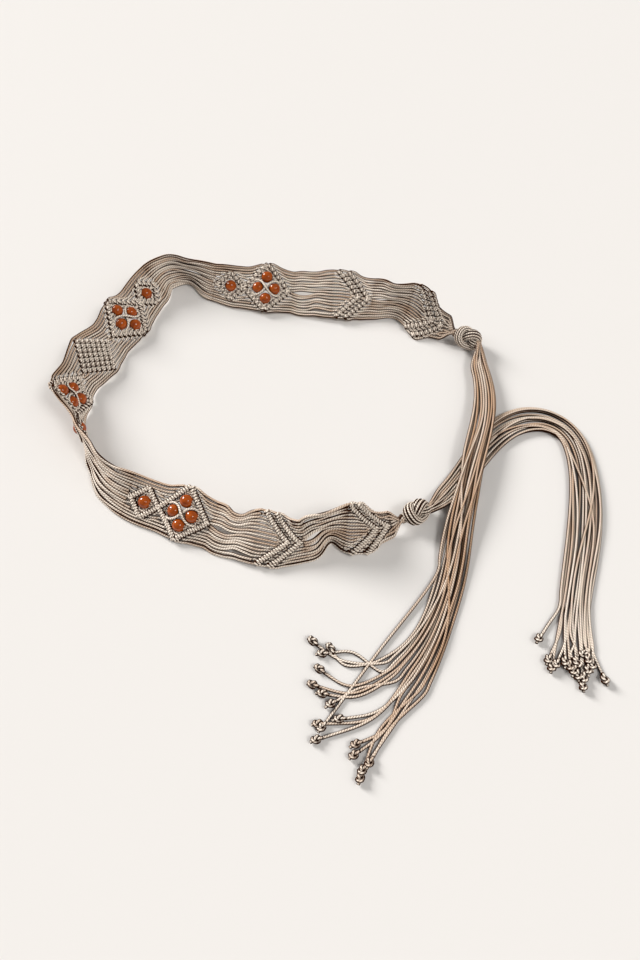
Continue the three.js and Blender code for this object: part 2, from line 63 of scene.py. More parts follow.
# The panels' and knots' sizes, which say where on its loop each part of the band lies
WEAVE_HALF = 22.0
INNER_RUN = 59.5
MIDDLE_RUN = 35.0
OUTER_RUN = 32.0
CHEVRON_STEP = 8.6
GATHER = 11.0
KNOT_LENGTH = 22.0
KNOT_WIDTH = 18.0
KNOT_HEIGHT = 17.0
GAP = 0.3  # between two panels
LAID = 0.4  # from the table up to the band's lower edge

ALONG, ACROSS = math.sin(ROW_ANGLE), math.cos(ROW_ANGLE)
LARGE_ALONG, LARGE_ACROSS = LARGE_HITCHES * HITCH * ALONG, LARGE_HITCHES * HITCH * ACROSS
SMALL_ALONG = SMALL_HITCHES * HITCH * ALONG
EDGE_REACH = ROW_WIDTH / 2 / ACROSS + GAP
CLUSTER_STEP = LARGE_ALONG + SMALL_ALONG + LANE_GAP
PLAIN_HALF = CORDS * LANE / 2
WIDE_HALF = LARGE_ACROSS + SOLID_CORD / 2
BEAD_PANEL = LARGE_ALONG + SMALL_ALONG + CLUSTER_STEP + 2 * EDGE_REACH
CHEVRON_PANEL = LARGE_ALONG + CHEVRON_STEP + 2 * EDGE_REACH

# Distances from the middle of the band to where each panel starts
INNER_BEADS_AT = WEAVE_HALF + GAP
INNER_RUN_AT = INNER_BEADS_AT + BEAD_PANEL
OUTER_BEADS_AT = INNER_RUN_AT + INNER_RUN
MIDDLE_RUN_AT = OUTER_BEADS_AT + BEAD_PANEL
FIRST_CHEVRON_AT = MIDDLE_RUN_AT + MIDDLE_RUN
OUTER_RUN_AT = FIRST_CHEVRON_AT + CHEVRON_PANEL
SECOND_CHEVRON_AT = OUTER_RUN_AT + OUTER_RUN
GATHER_AT = SECOND_CHEVRON_AT + CHEVRON_PANEL
KNOT_AT = GATHER_AT + GATHER + KNOT_LENGTH / 2
BAND_LENGTH = 2 * KNOT_AT

# How the band lies in its loop, from the near knot round to the far one: place as shares of the
# band's length, lean of its upper edge in degrees, and width as a share of the flat band's.
LOOP_COLUMNS = ("x", "y", "lean", "width")
LOOP = (
    (0.093, -0.043, 55, 0.9),
    (0.061, -0.057, 50, 0.95),
    (0.031, -0.065, 42, 0.95),
    (0.009, -0.064, 14, 0.9),
    (-0.016, -0.076, 42, 0.93),
    (-0.037, -0.075, 58, 0.95),
    (-0.082, -0.064, 60, 1),
    (-0.132, -0.045, 62, 1),
    (-0.171, -0.031, 60, 1),
    (-0.205, -0.013, 42, 0.95),
    (-0.225, 0.016, 18, 0.8),
    (-0.241, 0.049, -5, 0.75),
    (-0.255, 0.096, -42, 0.95),
    (-0.237, 0.148, -60, 1),
    (-0.209, 0.201, -60, 1),
    (-0.189, 0.24, -50, 1),
    (-0.172, 0.261, -20, 0.85),
    (-0.15, 0.262, -5, 0.8),
    (-0.122, 0.246, -32, 0.9),
    (-0.093, 0.242, -55, 1),
    (-0.053, 0.238, -60, 1),
    (0.001, 0.231, -60, 1),
    (0.045, 0.226, -60, 1),
    (0.086, 0.213, -15, 0.9),
    (0.116, 0.197, -50, 1),
    (0.136, 0.187, -50, 1),
    (0.16, 0.17, -50, 0.9),
)


def smoothstep(value, low=0.0, high=1.0):
    share = np.clip((np.asarray(value, float) - low) / (high - low), 0, 1)
    return share * share * (3 - 2 * share)


def unit(vectors):
    return vectors / np.linalg.norm(vectors, axis=-1, keepdims=True)


TINY = 1e-12  # square of the shortest way between two points that counts


def through(points, places):
    """A smooth curve through points, at places counted in points, with centripetal spacing."""
    points = np.vstack([2 * points[0] - points[1], points, 2 * points[-1] - points[-2]])
    index = np.clip(np.floor(places).astype(int), 0, len(points) - 4)
    share = (places - index)[:, None]
    a, b, c, d = (points[index + step] for step in range(4))
    before, here, after = (
        np.maximum(np.sum((q - p) ** 2, axis=1, keepdims=True), TINY) ** 0.25
        for p, q in ((a, b), (b, c), (c, d))
    )
    leave = ((b - a) / before - (c - a) / (before + here) + (c - b) / here) * here
    arrive = ((c - b) / here - (d - b) / (here + after) + (d - c) / after) * here
    square = -3 * b + 3 * c - 2 * leave - arrive
    cube = 2 * b - 2 * c + leave + arrive
    return b + share * (leave + share * (square + share * cube))


ROUTE_SAMPLES = 1001
NEARBY = 1e-4  # share of a route over which its heading is taken, either way


def route(table, columns, size, origin=(0, 0)):
    """A line through a table's rows, as a function of the distance along it that gives its place,
    its heading and a way to read a column."""
    rows = np.array(table, float)
    places = rows[:, :2] * size + origin
    last = len(rows) - 1
    turns = np.linspace(0, last, ROUTE_SAMPLES)
    steps = np.linalg.norm(np.diff(through(places, turns), axis=0), axis=1)
    lengths = np.concatenate([[0], np.cumsum(steps)])

    def at(distance):
        place = np.interp(distance, lengths, turns)
        behind, ahead = (np.clip(place + way * NEARBY * last, 0, last) for way in (-1, 1))
        heading = unit(through(places, ahead) - through(places, behind))
        index = np.minimum(place.astype(int), last - 1)
        ease = smoothstep(place - index)

        def read(column):
            values = rows[:, columns.index(column)]
            return values[index] + (values[index + 1] - values[index]) * ease

        return through(places, place), heading, read

    at.length = lengths[-1]
    return at


loop = route(LOOP, LOOP_COLUMNS, BAND_LENGTH**2 / route(LOOP, LOOP_COLUMNS, BAND_LENGTH).length)

GATHERED = 0.6  # width where the band starts to taper to a knot, as a share of the plain band's
KNOT_ENTRY = 0.4 * KNOT_WIDTH

# Half the band's width in the flat chart, at distances from its middle
HALF_WIDTHS = (
    (0, WIDE_HALF),
    (INNER_BEADS_AT, PLAIN_HALF),
    (INNER_BEADS_AT + EDGE_REACH + LARGE_ALONG, WIDE_HALF),
    (INNER_BEADS_AT + EDGE_REACH + 2 * LARGE_ALONG, PLAIN_HALF),
    (MIDDLE_RUN_AT - EDGE_REACH - 2 * LARGE_ALONG, PLAIN_HALF),
    (MIDDLE_RUN_AT - EDGE_REACH - LARGE_ALONG, WIDE_HALF),
    (MIDDLE_RUN_AT, PLAIN_HALF),
    (FIRST_CHEVRON_AT + EDGE_REACH, WIDE_HALF),
    (OUTER_RUN_AT, PLAIN_HALF),
    (SECOND_CHEVRON_AT + EDGE_REACH, WIDE_HALF),
    (GATHER_AT, GATHERED * PLAIN_HALF),
    (GATHER_AT + GATHER, KNOT_ENTRY),
    (KNOT_AT, KNOT_ENTRY),
)


def half_width(distance):
    marks, halves = np.array(HALF_WIDTHS).T
    distance = np.clip(np.abs(distance), marks[0], marks[-1])
    index = np.clip(np.searchsorted(marks, distance) - 1, 0, len(marks) - 2)
    ease = smoothstep((distance - marks[index]) / (marks[index + 1] - marks[index]))
    return halves[index] + (halves[index + 1] - halves[index]) * ease


EDGE_TURN = (0.82, 0.92)  # shares of the half width over which cords turn to face its edge


def on_loop(side, distance, across, off):
    """Chart points laid round the loop, and how the cords there face out of the band. side is 1
    towards the far knot and -1 towards the near one."""
    distance, across, off = np.broadcast_arrays(
        *(np.atleast_1d(np.asarray(value, float)) for value in (distance, across, off))
    )
    point, heading, read = loop(KNOT_AT + side * distance)
    lean, bunch = np.radians(read("lean")), read("width")
    distance = np.abs(distance)
    outward = np.column_stack([-heading[:, 1], heading[:, 0], np.zeros(len(lean))])
    up = np.array([0.0, 0.0, 1.0])
    cosine, sine = np.cos(lean)[:, None], np.sin(lean)[:, None]
    face = outward * cosine + up * sine
    rise = up * cosine - outward * sine
    half = half_width(distance)
    row = smoothstep(half, PLAIN_HALF, WIDE_HALF)
    piled = smoothstep(distance, GATHER_AT, GATHER_AT + GATHER)
    pile = LANE + (KNOT_HEIGHT / 2 - LANE) * piled
    thick = np.maximum(SOLID_CORD + (ROW_THICK - SOLID_CORD) * row, pile)
    flat = bunch * half * np.cos(lean) + thick / 2 * np.abs(np.sin(lean))
    knotted = smoothstep(distance, GATHER_AT - GATHER, GATHER_AT + GATHER)
    height = LAID + np.maximum(flat, flat + (KNOT_HEIGHT / 2 - flat) * knotted)
    middle = np.column_stack([point, height])
    place = middle + rise * (across * bunch)[:, None] + face * off[:, None]
    edge = np.sign(across) * smoothstep(np.abs(across) / half, *EDGE_TURN)
    return place, face + rise * edge[:, None]


# The loop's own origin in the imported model, found from where one bead lies
SINGLE_OUTER_AT = OUTER_BEADS_AT + EDGE_REACH + SMALL_ALONG
BEAD_SEAT = 2.5  # a bead lies midway between the places this far before and after it
bead_seats = on_loop(-1, SINGLE_OUTER_AT + BEAD_SEAT * np.array([-1, 1]), 0, 0)[0]
table_origin = np.mean(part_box("bead_outer_near_single"), axis=0) - MM * bead_seats.mean(axis=0)


def wired(tree, kind, inputs=None, **settings):
    """A node with its settings, and its inputs set to values or linked to outputs."""
    node = tree.nodes.new(kind)
    for name, value in settings.items():
        setattr(node, name, value)
    for key, value in (inputs or {}).items():
        if isinstance(value, bpy.types.NodeSocket):
            tree.links.new(value, node.inputs[key])
        else:
            node.inputs[key].default_value = value
    return node


def maths(tree, operation, *values, clamped=False):
    inputs = dict(enumerate(values))
    settings = {"operation": operation, "use_clamp": clamped}
    return wired(tree, "ShaderNodeMath", inputs, **settings).outputs[0]


SEAM_JUMP = 0.3  # a corner this many turns behind its face is past the seam


def cord_maker():
    """A Geometry Nodes tree that makes a round tube along each line of edges, with a map that
    runs round it and along it."""
    tree = bpy.data.node_groups.new("cord_along_lines", "GeometryNodeTree")
    tree.interface.new_socket("Geometry", in_out="OUTPUT", socket_type="NodeSocketGeometry")
    kinds = {"Geometry": "Geometry", "Cord diameter": "Float", "Step": "Float", "Sides": "Int"}
    for label, kind in (kinds | {"Material": "Material"}).items():
        tree.interface.new_socket(label, in_out="INPUT", socket_type="NodeSocket" + kind)
    given = tree.nodes.new("NodeGroupInput").outputs

    def node(kind, inputs, **settings):
        return wired(tree, "GeometryNode" + kind, inputs, **settings).outputs[0]

    def stored(geometry, name, value, **settings):
        inputs = {"Geometry": geometry, "Name": name, "Value": value}
        return node("StoreNamedAttribute", inputs, **settings)

    lines = node("MeshToCurve", {"Mesh": given["Geometry"]})
    even = node("ResampleCurve", {"Curve": lines, "Length": given["Step"]}, mode="LENGTH")
    reach = tree.nodes.new("GeometryNodeSplineParameter").outputs
    measured = stored(even, "run", reach["Length"], domain="POINT")
    radius = maths(tree, "DIVIDE", given["Cord diameter"], 2)
    ring = node("CurvePrimitiveCircle", {"Resolution": given["Sides"], "Radius": radius})
    turned = stored(ring, "turn", reach["Factor"], domain="POINT")
    curves = {"Curve": measured, "Profile Curve": turned}
    tube = node("CurveToMesh", curves | {"Fill Caps": True})
    turn, run = (
        node("InputNamedAttribute", {"Name": name}, data_type="FLOAT") for name in ("turn", "run")
    )
    facing = node("FieldOnDomain", {"Value": turn}, domain="FACE")
    behind = maths(tree, "SUBTRACT", facing, turn)
    whole = maths(tree, "ADD", maths(tree, "GREATER_THAN", behind, SEAM_JUMP), turn)
    place = wired(tree, "ShaderNodeCombineXYZ", {"X": whole, "Y": run}).outputs[0]
    bare = stored(tube, "cord", place, data_type="FLOAT2", domain="CORNER")
    for name in ("turn", "run"):
        bare = node("RemoveAttribute", {"Geometry": bare, "Name": name})
    real = node("RealizeInstances", {"Geometry": bare})
    painted = node("SetMaterial", {"Geometry": real, "Material": given["Material"]})
    wired(tree, "NodeGroupOutput", {"Geometry": painted})
    return tree


cord_tree = cord_maker()
PLIES = 3
PLY_LAY = 0.0058  # length of cord in which a ply goes once round it
CREST_TONE = (1.0, 0.9, 0.78, 1)
BROWN_TONE = (0.48, 0.25, 0.105, 1)
# painted shade: the grooves between a cord's plies are darkened in its colour
GROOVE_SHADE_TONE = (0.17, 0.07, 0.024, 1)
# painted shade: a cord's flanks, in the clefts between cords, are darkened in its colour
CLEFT_SHADE_TONE = (0.03, 0.008, 0.002, 1)
CLEFT_SHADE_FADE = (5.0, -3.4)  # painted cleft shade: how fast a cord's colour lightens as it turns outwards, and from where
FIBRES_PER_METRE = 1500.0
PATCHES_PER_METRE = 60.0
PATCHY = 0.5  # how much browner a cord gets from patch to patch


def new_material(name):
    material = bpy.data.materials.new(name)
    material.use_nodes = True
    material.node_tree.nodes.clear()
    return material, material.node_tree


def end_material(tree, inputs):
    shader = wired(tree, "ShaderNodeBsdfPrincipled", inputs)
    wired(tree, "ShaderNodeOutputMaterial", {"Surface": shader.outputs[0]})


def cord_finish():
    """Waxed three-ply cord: pale plies, with painted shade in the grooves between them
    and in the clefts where cords press together.
    """
    material, tree = new_material("waxed_cord")

    def mixed(factor, first, second):
        inputs = {0: factor, 6: first, 7: second}
        return wired(tree, "ShaderNodeMix", inputs, data_type="RGBA").outputs[2]

    layout = wired(tree, "ShaderNodeUVMap", uv_map="cord")
    split = wired(tree, "ShaderNodeSeparateXYZ", {"Vector": layout.outputs["UV"]})
    round_it = maths(tree, "MULTIPLY", split.outputs["X"], PLIES)
    along_it = maths(tree, "DIVIDE", split.outputs["Y"], PLY_LAY / PLIES)
    phase = maths(tree, "FRACT", maths(tree, "ADD", round_it, along_it))
    crest = maths(tree, "SINE", maths(tree, "MULTIPLY", phase, math.pi))
    own = wired(tree, "ShaderNodeAttribute", attribute_name="tint")
    face = wired(tree, "ShaderNodeAttribute", attribute_name="face")
    normal = wired(tree, "ShaderNodeNewGeometry")
    ways = {0: normal.outputs["Normal"], 1: face.outputs["Vector"]}
    facing = wired(tree, "ShaderNodeVectorMath", ways, operation="DOT_PRODUCT")
    outer = maths(tree, "ABSOLUTE", facing.outputs["Value"])
    space = wired(tree, "ShaderNodeTexCoord")
    fibres, patches = (
        wired(tree, "ShaderNodeTexNoise", {"Vector": space.outputs["Object"], "Scale": scale})
        for scale in (FIBRES_PER_METRE, PATCHES_PER_METRE)
    )
    shade = maths(tree, "MULTIPLY_ADD", patches.outputs[0], PATCHY, own.outputs["Fac"])
    browned = maths(tree, "SUBTRACT", shade, PATCHY / 2, clamped=True)
    body = mixed(browned, CREST_TONE, BROWN_TONE)
    # Painted shade in the grooves between the plies
    groove_shaded = mixed(maths(tree, "POWER", crest, 0.8), GROOVE_SHADE_TONE, body)
    # Painted shade where a cord turns away from the band's face, into the clefts between cords
    clear_of_painted_shade = maths(tree, "MULTIPLY_ADD", outer, *CLEFT_SHADE_FADE, clamped=True)
    cleft_shaded = mixed(clear_of_painted_shade, CLEFT_SHADE_TONE, groove_shaded)
    rounded = maths(tree, "POWER", crest, 0.6)
    height = maths(tree, "MULTIPLY_ADD", fibres.outputs[0], 0.35, rounded)
    relief = {"Height": height, "Strength": 0.75, "Distance": 0.00025}
    bump = wired(tree, "ShaderNodeBump", relief)
    # The same painted shade dims the gloss in the clefts
    gloss_dimmed_in_clefts = maths(tree, "MULTIPLY", clear_of_painted_shade, 0.5)
    inputs = {"Base Color": cleft_shaded, "Specular IOR Level": gloss_dimmed_in_clefts, "Normal": bump.outputs[0]}
    end_material(tree, inputs | {"Roughness": 0.5})
    return material


waxed_cord = cord_finish()


def placed(name, data):
    thing = bpy.data.objects.new(name, data)
    bpy.context.scene.collection.objects.link(thing)
    return thing


def add_piece(name, mesh, slot, *nodes):
    """Puts a mesh in the scene as a piece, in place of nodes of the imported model."""
    mesh.shade_smooth()
    piece = placed(name, mesh)
    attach(piece, "root")
    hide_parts(*nodes)


def store(mesh, name, values):
    kind, field = ("FLOAT", "value") if values.ndim == 1 else ("FLOAT_VECTOR", "vector")
    attribute = mesh.attributes.new(name, kind, "POINT")
    attribute.data.foreach_set(field, values.astype(np.float32).ravel())


CORD_SIDES = 8


def lay_cords(node, strands, step, diameter=CORD):
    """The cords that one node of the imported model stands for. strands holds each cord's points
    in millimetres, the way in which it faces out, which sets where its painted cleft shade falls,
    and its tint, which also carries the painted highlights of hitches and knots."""
    places, faces, _ = zip(*strands)
    points = np.vstack(places) * MM + table_origin
    points[:, 2] = np.maximum(points[:, 2], diameter / 2 * MM)
    joined = np.arange(len(points) - 1)
    joined = np.delete(joined, np.cumsum([len(line) for line in places])[:-1] - 1)
    lines = bpy.data.meshes.new("lines")
    lines.from_pydata(points.tolist(), np.column_stack([joined, joined + 1]).tolist(), [])
    store(lines, "tint", np.concatenate([tone + np.zeros(len(line)) for line, _, tone in strands]))
    store(lines, "face", np.vstack(faces))
    carrier = placed("lines", lines)
    modifier = carrier.modifiers.new("cords", "NODES")
    modifier.node_group = cord_tree
    labels = {item.name: item.identifier for item in cord_tree.interface.items_tree}
    sizes = {"Cord diameter": diameter * MM, "Step": step * MM, "Sides": CORD_SIDES}
    for label, value in (sizes | {"Material": waxed_cord}).items():
        modifier[labels[label]] = value
    evaluated = carrier.evaluated_get(bpy.context.evaluated_depsgraph_get())
    mesh = bpy.data.meshes.new_from_object(evaluated)
    bpy.data.objects.remove(carrier)
    add_piece("cords_" + node, mesh, "cord", node)


def fine(points, step=0.6, first=0, last=math.inf):
    """Places along a curve from one of its points to another, close enough for its bends."""
    gaps = np.linalg.norm(np.diff(points, axis=0), axis=1)
    counts = np.maximum(np.ceil(gaps / step).astype(int), 1)
    places = np.concatenate([i + np.arange(n) / n for i, n in enumerate(counts)] + [[len(gaps)]])
    return places[(places >= first) & (places <= last)]


WRAP_SIDE = 1.6  # from a leader's middle to its wrap's middle, in the plane of the band
WRAP_FACE = 1.5  # and square to it
CROSSING = 1.3  # how far the crossing bar at the back stands off the two bars under it
WRAP_DEGREES = np.arange(-165, 701, 30)  # round the leader, from the band's plane
CROSS_FROM, CROSS_FOR = 195, 150  # degrees where the crossing bar starts, and that it takes
LEAD, LEAD_OFF = 3.2, -0.7  # from a wrap's end to its cord's last point, along and off the band


def hitch(centre, leader, worker):
    """A double half hitch: two bars on the band's front, and one that crosses at its back, round
    centre, a place in the chart. leader and worker are the headings of its two cords."""
    phase = np.radians(WRAP_DEGREES)
    crossing = np.clip((WRAP_DEGREES - CROSS_FROM) / CROSS_FOR, 0, 1)
    shift = HITCH / 4 * (2 * smoothstep(crossing) - 1)
    depth = WRAP_FACE + CROSSING * np.sin(math.pi * crossing) ** 2
    flat = np.outer(shift, leader) + np.outer(WRAP_SIDE * np.cos(phase), worker)
    turns = np.column_stack([flat + centre, depth * np.sin(phase)])
    lead = np.array([LEAD, 0.0])
    enter = np.append(turns[0, :2] - lead, LEAD_OFF)
    leave = np.append(turns[-1, :2] + lead, LEAD_OFF)
    return np.vstack([enter, turns, leave])


def lane(index, distance):
    """Where cord number index of sixteen lies across the band."""
    return half_width(distance) * ((2 * index + 1) / CORDS - 1)


def number_of(sign, place):
    """A cord's number across the band, from its half (1 is upper) and its place from the middle."""
    return HALF_CORDS + place if sign > 0 else HALF_CORDS - 1 - place


def layered(number, distance):
    """How far a cord lies off the band's middle, where the cords are too close for one layer."""
    pitch = 2 * half_width(distance) / CORDS
    return 0.5 * np.sqrt(np.maximum(CORD**2 - pitch**2, 0)) * (1 if number % 2 else -1)


SEED = 16
PALEST, BROWNEST = 0.05, 0.6
random = np.random.default_rng(SEED)
tints = random.uniform(PALEST, BROWNEST, CORDS)
HITCH_PAINTED_HIGHLIGHT = 0.9  # painted highlight: cords are drawn paler where they are hitched
HITCH_OPEN = 0.25  # and stand out of the row, so they get less of the painted cleft shade
RUN_ON = np.array([5.0, 2.5, 0])  # how far past a panel's ends its lanes have points


def cut_cords(node, side, start, end, cords, step, diameter=CORD):
    """Cords laid through one panel. cords holds each one's own number, its numbers where it
    enters and leaves, and its chart points. Past both ends it runs on along its lane, so that
    it meets the next panel's without a kink."""
    strands = []
    for own, first, last, points in cords:
        before = [(start - ahead, lane(first, start - ahead), 0) for ahead in RUN_ON]
        after = [(end + ahead, lane(last, end + ahead), 0) for ahead in RUN_ON[::-1]]
        all_points = np.array(before + list(points) + after)
        enters, leaves = len(before) - 1, len(all_points) - len(after)
        places = fine(all_points, first=enters, last=leaves)
        chart = through(all_points, places)
        tight = np.clip(np.abs(chart[:, 2]) / WRAP_FACE, 0, 1)
        off = chart[:, 2] + layered(last, chart[:, 0]) * (1 - tight)
        laid, face = on_loop(side, chart[:, 0], chart[:, 1], off)
        # Hitched cords get less painted cleft shade and a painted highlight
        opened = face * (1 + HITCH_OPEN * tight[:, None])
        strands.append((laid, opened, tints[own] - HITCH_PAINTED_HIGHLIGHT * tight))
    lay_cords(node, strands, step, diameter)


HITCHED_STEP = 0.7  # from ring to ring along a hitched cord's tube
LEADER_STEP = 2.0  # from one of a leader's points to the next
WEAVE_INSET = 2.0  # from the weave's end to its diamond's corner
EDGE_MARKS = range(-14, 15, 7)  # where the two cords beside the diamond have their points
EDGE_OFF = 1.1  # how far outside its side corners they pass
EDGE_SLOPE = 5  # length along the band in which they come in by 1


def weave():
    """Chart points of the sixteen cords through the filled diamond, from its near end."""
    size = LARGE_HITCHES * HITCH
    leader = np.array([(WEAVE_HALF - WEAVE_INSET) / size, LARGE_ACROSS / size])
    worker = leader * (1, -1)
    apex = np.array([WEAVE_INSET - WEAVE_HALF, 0.0])
    marks = np.arange(0, size + 1, LEADER_STEP)
    cords = []
    for place in range(LARGE_HITCHES):
        q = (place + 0.5) * HITCH
        opposite = LARGE_HITCHES - 1 - place
        lower, upper = number_of(-1, place), number_of(1, place)
        leads = [np.append(apex + p * leader + q * worker, 0) for p in marks]
        cords.append((lower, lower, number_of(1, opposite), leads))
        hitches = [
            hitch(apex + q * leader + p * worker, leader, worker)[1:-1]
            for p in (np.arange(LARGE_HITCHES) + 0.5) * HITCH
        ]
        cords.append((upper, upper, number_of(-1, opposite), np.vstack(hitches)))
    for sign in (-1, 1):
        edge = number_of(sign, LARGE_HITCHES)
        across = [sign * (LARGE_ACROSS + EDGE_OFF - abs(at) / EDGE_SLOPE) for at in EDGE_MARKS]
        cords.append((edge, edge, edge, [(*at, 0) for at in zip(EDGE_MARKS, across)]))
    return cords


weave_cords = weave()
cut_cords("centre_weave", 1, -INNER_BEADS_AT, INNER_BEADS_AT, weave_cords, HITCHED_STEP)

# Which cord lies at each number across the band, where each half of the band starts
order = {-1: list(range(CORDS)), 1: [0] * CORDS}
for own, _, last, _ in weave_cords:
    order[1][last] = own
HALVES = (("near", -1), ("far", 1))


# The bead panels: knotted diamonds with beads inside, a large one and a small one, with their
# leaders crossing between them. Seven cords of each half are hitched on to a leader on its way
# out, run on inside the diamond, through the beads or past them, and are hitched on again.

BEAD = 10.0
BEAD_ALONG = 7.0
BEAD_ACROSS = 9.2
SIDE_BY_SIDE = 0.98  # from the middle of a bore to the middle of each of its two cords
WALK = 5  # from one point of a lane to the next
CLEAR = 3  # and at least this far before what comes next


class Panel:
    """The cords on their way through one panel of the chart, in order of their places."""

    def __init__(self, side, start, end):
        self.side, self.start, self.end = side, start, end
        self.cords = {n: {"own": order[side][n], "first": n, "points": []} for n in range(CORDS)}

    def at(self, sign, place):
        return self.cords[number_of(sign, place)]

    def walk(self, sign, place, until):
        """Adds lane points up to a distance, so that a cord keeps to its lane."""
        points = self.at(sign, place)["points"]
        here = points[-1][0] if len(points) else self.start
        while here + WALK < until - CLEAR:
            here += WALK
            points.append((here, lane(number_of(sign, place), here), 0))

    def shift(self, sign, leader_from, leader_to):
        """Moves a leader to its new place, and the cords it passed one place the other way."""
        places = [self.at(sign, place) for place in range(HALF_CORDS)]
        places.insert(leader_to, places.pop(leader_from))
        for place, cord in enumerate(places):
            self.cords[number_of(sign, place)] = cord

    def swap(self, place):
        """Exchanges the two halves' cords at one place from the middle."""
        upper, lower = number_of(1, place), number_of(-1, place)
        self.cords[upper], self.cords[lower] = self.cords[lower], self.cords[upper]

    def cross(self, apex):
        """The two leaders cross at the middle, and the upper one is hitched round the other."""
        turns = hitch((apex, 0), (ALONG, ACROSS), (ACROSS, -ALONG))
        self.at(1, 0)["points"].extend(turns[1:-1])
        self.at(-1, 0)["points"].append((apex, 0, 0))
        self.swap(0)

    def row(self, apex, way, count, crossing):
        """A row of hitches on each half. way is 1 for rows that run outward from their apex and
        -1 for rows that run in to it."""
        if way > 0 and crossing:
            self.cross(apex)
        for sign in (-1, 1):
            leader = np.array([way * ALONG, sign * ACROSS])
            worker = np.array([ACROSS, -way * sign * ALONG])
            first = 0 if way > 0 else count
            if way < 0:
                self.walk(sign, count, apex - count * HITCH * ALONG)
            reaches = np.arange(LEADER_STEP / 2, count * HITCH, LEADER_STEP)[::way]
            crest = [np.append((apex, 0) + reach * leader, 0) for reach in reaches]
            self.at(sign, first)["points"].extend(crest)
            for k in range(count):
                place = k + 1 if way > 0 else k
                centre = (apex, 0) + (k + 0.5) * HITCH * leader
                self.walk(sign, place, centre[0])
                self.at(sign, place)["points"].extend(hitch(centre, leader, worker))
            self.shift(sign, first, count if way > 0 else 0)
        if way < 0 and crossing:
            self.cross(apex)

    def finish(self, node):
        """Brings every cord to the panel's end along its lane, and makes the piece."""
        for place in range(HALF_CORDS):
            for sign in (-1, 1):
                self.walk(sign, place, self.end)
        self.lay(node, HITCHED_STEP)

    def lay(self, node, step, diameter=CORD):
        order[self.side] = [self.cords[n]["own"] for n in range(CORDS)]
        cords = [(cord["own"], cord["first"], n, cord["points"]) for n, cord in self.cords.items()]
        cut_cords(node, self.side, self.start, self.end, cords, step, diameter)


BEAD_END = 5.2  # from a bead's middle to where its two cords come out
# How each cord runs inside a diamond, up to its middle: points along, across and off the band's
# plane. The way out is the same, and in a large diamond the cords at place 1 cross in the middle.
INSIDE_LARGE = {
    0: [(-12.5, 1.1, 0), (-BEAD_ALONG, SIDE_BY_SIDE, 0), (0, 1.15, 0)],
    1: [(-11.5, 5.2, 0.7), (-8, 6.2, 1.7), (-3.8, 4.4, 2.5)],
    2: [(-BEAD_END, BEAD_ACROSS - SIDE_BY_SIDE, 0)],
    3: [(-BEAD_END, BEAD_ACROSS + SIDE_BY_SIDE, 0)],
    4: [(-2.5, 15.0, 0)],
    5: [(0, 17.2, 0)],
    6: [(0, 19.1, 0)],
}
INSIDE_SMALL = {
    0: [(-BEAD_END, SIDE_BY_SIDE, 0)],
    1: [(-2.5, 6.1, 0)],
    2: [(0, 8.5, 0)],
    3: [(0, 10.4, 0)],
}
CROSSING_OFF = {-1: 2.1, 1: 4.1}  # how far each half's cord stands off as they cross


def inside(panel, centre, routes, front):
    """Cords inside a diamond. front is 1 where they cross on the band's outer side, else -1."""
    for way in (1, -1):
        for sign in (-1, 1):
            for place, points in routes.items():
                half_way = [point for point in points[::way] if way > 0 or point[0] < 0]
                laid = [(centre + way * a, sign * c, front * o) for a, c, o in half_way]
                panel.at(sign, place)["points"].extend(laid)
        if way > 0 and routes is INSIDE_LARGE:
            for sign in (-1, 1):
                panel.at(sign, 1)["points"].append((centre, 0, front * CROSSING_OFF[sign]))
            panel.swap(1)


LARGE = (LARGE_ALONG, LARGE_HITCHES, INSIDE_LARGE)
SMALL = (SMALL_ALONG, SMALL_HITCHES, INSIDE_SMALL)


def bead_panel(node, side, start, sizes, front=-1):
    panel = Panel(side, start, start + BEAD_PANEL)
    centre = start + EDGE_REACH + sizes[0][0]
    for turn, (size, count, routes) in enumerate(sizes):
        panel.row(centre - size, 1, count, True)
        inside(panel, centre, routes, front)
        panel.row(centre + size, -1, count, turn == 1)
        centre += CLUSTER_STEP
    panel.finish(node)


for half, side in HALVES:
    bead_panel(f"bead_panel_inner_{half}", side, INNER_BEADS_AT, (LARGE, SMALL))

# The plain runs: sixteen cords side by side with nothing to hold them, so that they drift apart
# in pairs, lie over one another where the band is squeezed, and catch the light each on its own.

RUN_CORD = 2.4  # the loose cords are a little thicker than the knotted ones
RUN_STEP = 1.0
RUN_MARKS_EVERY = 7
FEWEST_MARKS = 4
SLOT = 0.4  # the most extra space between two pairs of cords
SLOT_SHARES = (0.5, 1, 0.7, 0.5, 0.7, 1, 0.5)
DRIFT = 0.3  # how far a cord strays across the band, in two waves
LIFT = 0.6  # and off its plane, in two more
WAVE_RATES = (0.09, 0.21, 0.11, 0.17)  # radians for each millimetre along the band
SECOND_WAVE = 0.5  # of the first one's size
UPPER_SAG = 1.5  # power by which the sag grows towards the band's upper edge
# How a run differs from an even one, in millimetres at most: how much its upper cords sag, how
# far its halves part just past the row before them, and how far its lowest pair hangs away.
# BULGES has the middle and the reach of each, as shares of the run's length.
RUNS = {
    "inner_run_near": (2.5, 1.0, 1.5),
    "middle_run_near": (7.5, 2.6, 2.2),
    "outer_run_near": (1.5, 2.6, 0.6),
    "inner_run_far": (1.5, 0.8, 0.6),
    "middle_run_far": (1.0, 2.4, 1.6),
    "outer_run_far": (3.0, 0.8, 0.6),
}
BULGES = ((0.5, 0.28), (0.25, 0.16), (0.62, 0.22))


